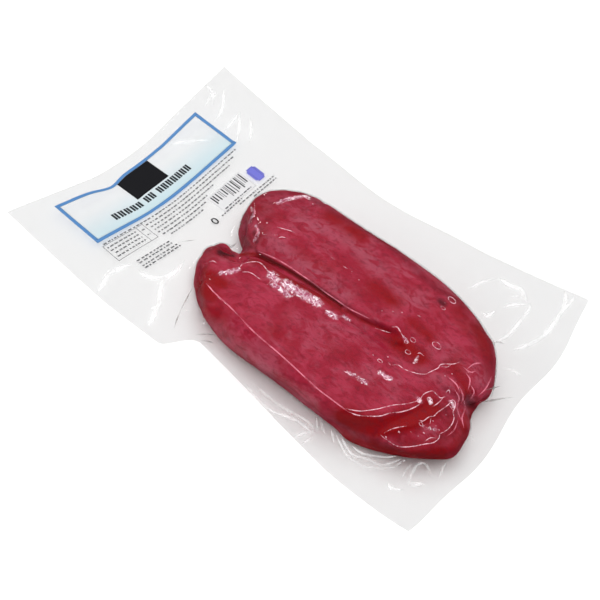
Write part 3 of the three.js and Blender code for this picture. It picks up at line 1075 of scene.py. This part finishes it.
def roe_material():
    """Crimson skin with soft blotches, some paler and some deeper, with painted shade in folds, pits, along
    edges and on the lower walls, and painted sheen in some pale places.
    """
    material, tree = new_material("roe_skin")
    place = place_node(tree)
    turn = (0, 0, math.radians(-6))
    drawing = {"Vector": place, "Scale": (0.6, 1, 1), "Rotation": turn}
    drawn = add_node(tree, "ShaderNodeMapping", drawing).outputs["Vector"]
    broad = noise_node(tree, place, scale=60, distortion=0.6)
    clouds = noise_node(tree, drawn, scale=120, roughness=0.5, distortion=0.6)
    blotches = noise_node(tree, drawn, scale=210, detail=4, distortion=0.9)
    grain = noise_node(tree, drawn, scale=520, detail=4, roughness=0.6, distortion=0.8)
    tone = ramp_node(tree, broad, [(0.38, ROE_CRIMSON), (0.55, ROE_PINK)])
    for share, colour in (
        (ramp_node(tree, clouds, [(0.5, 0.0), (0.66, 0.6)]), ROE_PALE_AND_SHEEN),
        # paler skin, partly painted sheen on the lower-left wall and the end facet
        (share_node(tree, "pale"), ROE_PALE_AND_SHEEN),
        (ramp_node(tree, blotches, [(0.48, 0.0), (0.62, 0.9)]), ROE_CRIMSON),
        # deep wet red, partly juice under the film and partly painted shade in the crease and on the lower
        # walls
        (share_node(tree, "wet_and_shade"), ROE_WET_AND_SHADE),
        (ramp_node(tree, grain, [(0.5, 0.0), (0.64, 0.4)]), ROE_DEEP),
        # painted shade in folds, pits, the crease and along the edges
        (share_node(tree, "dark"), ROE_PAINTED_SHADE),
    ):
        tone = mix_colour(tree, share, tone, colour)
    finish_material(tree, add_node(tree, "ShaderNodeBsdfPrincipled", {
        "Base Color": tone,
        "Roughness": 0.45,
        "Specular IOR Level": 0.15,
        "Subsurface Weight": 0.12,
        "Subsurface Radius": (0.004, 0.0006, 0.0006),
        "Subsurface Scale": 1.0,
        "Normal": bump_node(tree, blotches, strength=0.25, distance=0.0004),
    }))
    return material


# What the film lets through, darkened to paint in the shadow that it doesn't cast, how much of the light it
# mirrors, and the colours of the glints painted where it is crinkled
FILM_CLEAR_AND_SHADOW = (0.943, 0.943, 0.943, 1)
FILM_GRAZING_SHINE = 0.12
FILM_LEAST_SHINE = 0.045
CRINKLE_GLINT_DIM = (0.50, 0.20, 0.33)
CRINKLE_GLINT_WHITE = (0.97, 0.83, 0.88)


def film_material():
    """Clear film: its outer face mirrors the lights, its see-through colour is darkened as painted shadow,
    and where it is crinkled it carries painted white glints.
    """
    material, tree = new_material("film_clear")
    place = place_node(tree)
    waves = noise_node(tree, place, scale=90, roughness=0.5, distortion=0.8)
    crackle = noise_node(tree, place, scale=650, roughness=0.6, distortion=0.5)
    flakes = noise_node(tree, place, scale=290, detail=4, roughness=0.6, distortion=1.6)
    crinkle_and_glint = share_node(tree, "crinkle_and_glint")
    rough = math_node(tree, "MULTIPLY_ADD", crackle, crinkle_and_glint, waves)
    normal = bump_node(tree, rough, strength=0.3, distance=0.0006)
    through = add_node(tree, "ShaderNodeBsdfTransparent", {"Color": FILM_CLEAR_AND_SHADOW})
    gloss = add_node(tree, "ShaderNodeBsdfGlossy", {"Roughness": 0.08, "Normal": normal})
    tilt = add_node(tree, "ShaderNodeLayerWeight", {"Blend": 0.5, "Normal": normal})
    grazing = math_node(tree, "POWER", tilt.outputs["Facing"], 5)
    mirrored = math_node(tree, "MULTIPLY_ADD", grazing, FILM_GRAZING_SHINE, FILM_LEAST_SHINE)
    inside = add_node(tree, "ShaderNodeNewGeometry", {}).outputs["Backfacing"]
    outward = math_node(tree, "SUBTRACT", 1, inside)
    clear = shader_mix(tree, math_node(tree, "MULTIPLY", mirrored, outward), through, gloss)
    # Painted glints: a white net and white spots where the film is crinkled, mixed in as a diffuse shader
    shift = {0: crackle, 1: (0.005, -0.004, 0.003), 2: place}
    warped = add_node(tree, "ShaderNodeVectorMath", shift, operation="MULTIPLY_ADD").outputs["Vector"]
    lattice = {"Scale": 330, "Vector": warped}
    cells = add_node(tree, "ShaderNodeTexVoronoi", lattice, feature="DISTANCE_TO_EDGE")
    net = ramp_node(tree, cells.outputs["Distance"], [(0.03, 0.5), (0.2, 0.0)])
    spots = ramp_node(tree, flakes, [(0.5, 0.0), (0.58, 1.0)])
    texture = math_node(tree, "MAXIMUM", net, spots)
    glint_colour = mix_colour(tree, texture, CRINKLE_GLINT_DIM, CRINKLE_GLINT_WHITE)
    white = add_node(tree, "ShaderNodeBsdfDiffuse", {"Color": glint_colour})
    unevenness = math_node(tree, "MULTIPLY_ADD", crackle, 2.4, -0.2)
    ragged = math_node(tree, "MULTIPLY", crinkle_and_glint, unevenness)
    strong = ramp_node(tree, ragged, [(0.3, 0.0), (0.75, 0.95)])
    filled = math_node(tree, "MULTIPLY_ADD", texture, 0.62, 0.38)
    glint_share = math_node(tree, "MULTIPLY", math_node(tree, "MULTIPLY", filled, strong), outward)
    finish_material(tree, shader_mix(tree, glint_share, clear, white))
    return material


def bead_material(name, colour, scale, least, most):
    """A welt's tone, used for painted glints, for cloudy doubled film with painted glints and for painted
    fold shade, patchy along its length and clear at its edges.
    """
    material, tree = new_material(name)
    patches = ramp_node(tree, noise_node(tree, place_node(tree), scale), [(0.38, least), (0.62, most)])
    alpha = math_node(tree, "MULTIPLY", patches, share_node(tree, "tone_opacity"))
    inputs = {"Base Color": (*colour, 1), "Roughness": 0.3, "Alpha": alpha}
    finish_material(tree, add_node(tree, "ShaderNodeBsdfPrincipled", inputs))
    return material


def plain_material(name, colour, roughness, alpha=1.0, specular=0.5):
    material, tree = new_material(name)
    inputs = {"Base Color": (*colour, 1), "Roughness": roughness, "Alpha": alpha}
    inputs["Specular IOR Level"] = specular
    finish_material(tree, add_node(tree, "ShaderNodeBsdfPrincipled", inputs))
    return material


def panel_material():
    """Pale blue ink that fades out towards the pouch's end."""
    material, tree = new_material("ink_pale_blue")
    split = add_node(tree, "ShaderNodeSeparateXYZ", {"Vector": place_node(tree)})
    along = add_node(tree, "ShaderNodeMapRange", {
        "Value": split.outputs["X"],
        "From Min": FRAME_LOW[0] * MM,
        "From Max": FRAME_HIGH[0] * MM,
    }).outputs["Result"]
    finish_material(tree, add_node(tree, "ShaderNodeBsdfPrincipled", {
        "Base Color": ramp_node(tree, along, [(0.45, (0.66, 0.67, 0.68)), (1.0, (0.50, 0.63, 0.67))]),
        "Roughness": 0.4,
        "Alpha": ramp_node(tree, along, [(0.3, 0.5), (0.9, 0.8)]),
    }))
    return material


# Print pieces

# Rows of small marks: how far along the pouch, and where each starts and ends across it
PRINT_ROWS = [
    (-84.0, -57, 42), (-81.4, -32, 38), (-78.8, -31, 31), (-76.2, -31, 14), (-73.6, -31, 6), (-71.0, -30, 2),
    (-68.4, -27, -3), (-65.2, -52, -31), (-63.4, -52, -31), (-61.0, -52, -29), (-59.2, -52, -29),
    (-57.6, 1, 18), (-55.6, 14, 44), (-53.6, 24, 44), (-59.4, 6, 28),
    (-81.0, -57, -39), (-78.6, -57, -39), (-76.2, -56, -39), (-73.6, -57, -39),
    (-79.8, -36, -34.4), (-75.6, -36, -34.4),
]
# The ruled lines among the marks, as corners
RULED_LINES = [
    ((-82.8, -58.05), (-82.5, -37.45)), ((-70.8, -58.05), (-70.5, -37.45)),
    ((-82.8, -37.05), (-82.5, -33.35)), ((-70.8, -37.05), (-70.5, -33.35)),
    ((-82.8, -58.4), (-70.5, -58.1)), ((-82.8, -37.4), (-70.5, -37.1)), ((-82.8, -33.3), (-70.5, -33)),
]
# The large bars, in pairs: where each group starts across the pouch, and how many pairs it has
TITLE_GROUPS = [(-40.5, 5), (-19.9, 2), (-10.4, 7)]
TITLE_PITCH = 3.7
TITLE_BAR = 1.25
TITLE_BAR_STEP = 1.6
TITLE_TOP = -97.8
TITLE_FOOT = -93
SQUARE = ((-116.4, -22.3), (-99, 1.8))
MARK_STRIPS = [((-67.8, 33.6), (-59.7, 34.7)), ((-69, 34.7), (-58.5, 39.6)), ((-67.8, 39.6), (-59.7, 40.7))]
BAR_GROUND = ((-71.5, 4), (-57.5, 31))
# The two groups of upright bars: where each starts and ends across the pouch, and how long it is
BAR_GROUPS = [(5.6, 15, 6.5), (16, 29, 9.5)]
BAR_TOP = -70.6
MARK_WIDTH = 0.9
PRINT_RING_PX = (215, 221)
PRINT_RING_RADIUS = 2.0
PRINT_RING_WIDTH = 0.4


def print_pieces(tree):
    """The print: a framed panel, a square, rows of bars and small plain marks."""
    blue = plain_material("ink_blue", (0.075, 0.215, 0.47), 0.4)
    dark = plain_material("ink_dark", (0.008, 0.008, 0.010), 0.5, specular=0.2)
    grey = plain_material("ink_grey", (0.10, 0.10, 0.11), 0.5, alpha=0.6)
    white = plain_material("ink_white", (0.66, 0.66, 0.67), 0.5, alpha=0.7)
    violet = plain_material("ink_violet", (0.15, 0.155, 0.57), 0.4)
    black = plain_material("ink_black", (0.02, 0.024, 0.028), 0.5, alpha=0.95, specular=0.2)
    low_x, low_y = FRAME_LOW
    high_x, high_y = FRAME_HIGH
    line = FRAME_LINE
    frame_sides = [
        ((low_x, low_y), (low_x + line, high_y)),
        ((high_x - line, low_y), (high_x, high_y)),
        ((low_x + line + HAIR, low_y), (high_x - line - HAIR, low_y + line)),
        ((low_x + line + HAIR, high_y - line), (high_x - line - HAIR, high_y)),
    ]

    def add(name, rectangles, level, material):
        parts = [print_patch(tree, low, high, level) for low, high in rectangles]
        finish_piece(joined(name, parts), material).visible_shadow = False

    panel = [((low_x + line, low_y + line), (high_x - line, high_y - line))]
    add("print_panel", panel, PRINT_LEVEL, panel_material())
    add("print_frame", frame_sides, PRINT_LEVEL, blue)
    add("print_square", [SQUARE], OVERPRINT_LEVEL, dark)
    title = []
    for start, pairs in TITLE_GROUPS:
        for pair in range(pairs):
            y = start + TITLE_PITCH * pair
            for bar in (y, y + TITLE_BAR_STEP):
                title.append(((TITLE_TOP, bar), (TITLE_FOOT, bar + TITLE_BAR)))
    add("print_title", title, OVERPRINT_LEVEL, black)
    rng = np.random.default_rng(5)
    marks = list(RULED_LINES)
    for x, start, end in PRINT_ROWS:
        y = start
        while y < end:
            length = rng.uniform(0.7, 2.4)
            marks.append(((x, y), (x + MARK_WIDTH, min(y + length, end))))
            y += length + rng.uniform(0.5, 1.1)
    add("print_marks", marks, OVERPRINT_LEVEL, grey)
    add("print_bar_ground", [BAR_GROUND], PRINT_LEVEL, white)
    bars = []
    for start, end, length in BAR_GROUPS:
        y = start
        while y < end:
            width = rng.choice((0.35, 0.5, 0.8))
            bars.append(((BAR_TOP, y), (BAR_TOP + length * rng.uniform(0.8, 1), y + width)))
            y += width + rng.choice((0.5, 0.8, 1.3))
    add("print_bars", bars, OVERPRINT_LEVEL, dark)
    add("print_mark", MARK_STRIPS, PRINT_LEVEL, violet)
    ring = bead(tree, circle_on(tree, PRINT_RING_PX, PRINT_RING_RADIUS), PRINT_RING_WIDTH, endless=True)
    finish_piece(joined("print_ring", [ring[:2]]), dark).visible_shadow = False


# Light, floor and camera

# The floor lies just under the film, so that the two never fall together
FLOOR_GAP = 0.25
AMBIENT = (0.41, 0.41, 0.41)
# Gloss mirrors a large pale screen behind the pack, and pale ground in front of it, to the left
SCREEN_DIRECTION = (-0.45, 0.75, 0.48)
GROUND_DIRECTION = (-0.70, -0.60, -0.38)


def add_area(name, place, size, power, glints):
    """A softbox: one that only lights, or one that only shows in glossy film."""
    light = bpy.data.lights.new(name, "AREA")
    light.shape = "RECTANGLE"
    light.size = size[0]
    light.size_y = size[1]
    light.energy = power
    lamp = bpy.data.objects.new(name, light)
    lamp.location = place
    lamp.rotation_euler = (-Vector(place)).to_track_quat("-Z", "Y").to_euler()
    lamp.visible_glossy = glints
    lamp.visible_diffuse = not glints
    bpy.context.scene.collection.objects.link(lamp)


def set_stage():
    span = 3000
    corners = [(-span, -span), (span, -span), (span, span), (-span, span)]
    floor = new_object("floor", [(x, y, -FLOOR_GAP) for x, y in corners], [(0, 1, 2, 3)])
    floor.data.materials.append(plain_material("floor_white", (0.93, 0.93, 0.93), 0.9, specular=0.0))
    floor.visible_glossy = False
    world = bpy.data.worlds.new("studio")
    world.use_nodes = True
    tree = world.node_tree
    tree.nodes.clear()
    looking = add_node(tree, "ShaderNodeTexCoord", {}).outputs["Generated"]
    glows = []
    for direction, stops in (
        (SCREEN_DIRECTION, [(0.0, 0.02), (0.3, 0.15), (1.0, 0.2)]),
        (GROUND_DIRECTION, [(0.7, 0.0), (0.92, 0.62)]),
    ):
        towards = add_node(tree, "ShaderNodeVectorMath", {0: looking, 1: direction}, operation="DOT_PRODUCT")
        glows.append(ramp_node(tree, towards.outputs["Value"], stops))
    glow = math_node(tree, "MAXIMUM", *glows)
    glossy = add_node(tree, "ShaderNodeLightPath", {}).outputs["Is Glossy Ray"]
    shown = mix_colour(tree, glossy, AMBIENT, glow)
    background = add_node(tree, "ShaderNodeBackground", {"Color": shown})
    add_node(tree, "ShaderNodeOutputWorld", {"Surface": background.outputs["Background"]})
    bpy.context.scene.world = world
    add_area("softbox_main", (0.0, 0.12, 1.3), (1.8, 1.8), 22.3, glints=False)
    add_area("softbox_left", (-0.9, -0.7, 0.5), (0.6, 0.6), 3, glints=False)
    add_area("glint_left", (-1.06, 0.31, 0.58), (0.16, 0.07), 0.5, glints=True)


def set_camera():
    data = bpy.data.cameras.new("camera")
    data.sensor_fit = "HORIZONTAL"
    data.sensor_width = SENSOR_MM
    data.lens = SENSOR_MM * FOCAL_PX / IMAGE_PX
    camera = bpy.data.objects.new("camera", data)
    axes = Matrix((CAMERA_RIGHT, CAMERA_UP, CAMERA_BACK)).transposed()
    camera.matrix_world = Matrix.Translation(Vector(CAMERA_PLACE * MM)) @ axes.to_4x4()
    bpy.context.scene.collection.objects.link(camera)
    bpy.context.scene.camera = camera


set_camera()
set_stage()
roe = fused_roe()
shape_roe(roe)
mark_roe(roe)
finish_piece(roe, roe_material())
field = film_field(roe)
web = upper_web(field)
web_tree = tree_of(web.data)
clear_film = film_material()
# The film casts no shadow and is unseen by diffuse light: its darkened see-through colour paints in its
# shade on the floor
for film in (web, lower_web()):
    finish_piece(film, clear_film)
    film.visible_shadow = False
    film.visible_diffuse = False
# Welts of painted glint along the film's folds over the roe
shine = bead_material("film_painted_glint", (0.93, 0.58, 0.67), 450, 0.1, 0.9)
film_beads("film_bright_creases", web_tree, {0.3: BRIGHT_LINES}, shine)
film_beads("film_roe_creases", web_tree, {0.24: ROE_LINES}, shine)
faint_glint = bead_material("film_faint_glint", (0.80, 0.24, 0.33), 160, 0.15, 0.7)
film_beads("film_faint_creases", web_tree, {0.42: FAINT_LINES}, faint_glint)
air_specks(web_tree, shine)
# Margin welts: cloudy doubled film with painted glints
cloudy_and_glint = bead_material("film_cloudy_and_glint", (0.97, 0.97, 0.97), 110, 0.1, 0.52)
for name, folds, material in (
    ("film_margin_creases", MARGIN_FOLDS, cloudy_and_glint),
    # painted fold shade along the dark creases
    ("film_crease_shade", DARK_FOLDS, bead_material("film_shaded", (0.25, 0.23, 0.22), 110, 0.1, 0.6)),
):
    widths = {}
    for path, half_width, height in folds:
        widths.setdefault(FOLD_SPREAD * half_width, []).append(path)
    film_beads(name, web_tree, widths, material)
print_pieces(web_tree)

scene = bpy.context.scene
scene.view_settings.view_transform = "Standard"
scene.cycles.transparent_max_bounces = 32
